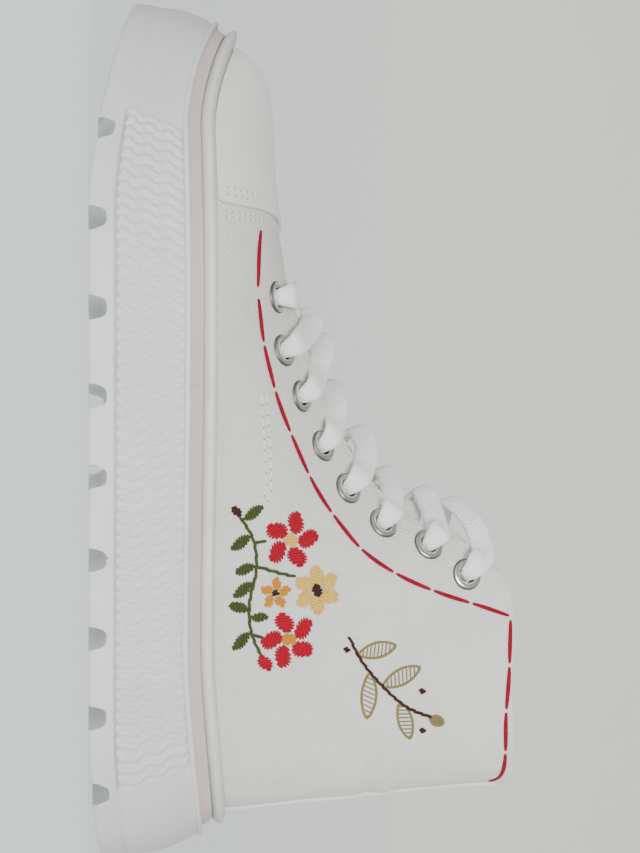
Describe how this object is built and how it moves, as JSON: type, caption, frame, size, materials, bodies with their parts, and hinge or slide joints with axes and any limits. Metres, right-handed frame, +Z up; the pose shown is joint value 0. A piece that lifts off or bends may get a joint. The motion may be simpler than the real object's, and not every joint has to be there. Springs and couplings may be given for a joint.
{
  "type": "high-top sneaker",
  "caption": "White canvas high-top sneaker on a thick lugged platform sole with a ribbed side, smooth toe cap, metal eyelets and flat laces.",
  "frame": {"origin": "centre of the shoe's box, on the floor under the tread", "axes": "+X from toe to heel, +Y from the outer side to the inner side, +Z up"},
  "size_m": [0.2808, 0.1076, 0.142],
  "materials": {
    "sole_rubber": "matt moulded rubber",
    "foxing_rubber": "satin rubber",
    "canvas": "plain-weave cotton",
    "toe_cap_leather": "smooth coated leather",
    "heel_tape": "woven tape",
    "tongue_cloth": "plain-weave cotton",
    "insole_cloth": "woven sock",
    "eyelet_nickel": "plated metal",
    "lace_cotton": "flat woven cotton"
  },
  "bodies": {
    "root": {"sole": "sole_rubber", "foxing_roll": "foxing_rubber", "upper": "canvas", "toe_cap": "toe_cap_leather", "heel_strip": "heel_tape", "tongue": "tongue_cloth", "insole": "insole_cloth", "eyelet_outer_1": "eyelet_nickel", "eyelet_outer_2": "eyelet_nickel", "eyelet_outer_3": "eyelet_nickel", "eyelet_outer_4": "eyelet_nickel", "eyelet_outer_5": "eyelet_nickel", "eyelet_outer_6": "eyelet_nickel", "eyelet_outer_7": "eyelet_nickel", "eyelet_outer_8": "eyelet_nickel", "eyelet_inner_1": "eyelet_nickel", "eyelet_inner_2": "eyelet_nickel", "eyelet_inner_3": "eyelet_nickel", "eyelet_inner_4": "eyelet_nickel", "eyelet_inner_5": "eyelet_nickel", "eyelet_inner_6": "eyelet_nickel", "eyelet_inner_7": "eyelet_nickel", "eyelet_inner_8": "eyelet_nickel", "lace_bar": "lace_cotton", "lace_cross_2": "lace_cotton", "lace_cross_3": "lace_cotton", "lace_cross_4": "lace_cotton", "lace_cross_5": "lace_cotton", "lace_cross_6": "lace_cotton", "lace_cross_7": "lace_cotton", "lace_cross_8": "lace_cotton"}
  },
  "joints": []
}
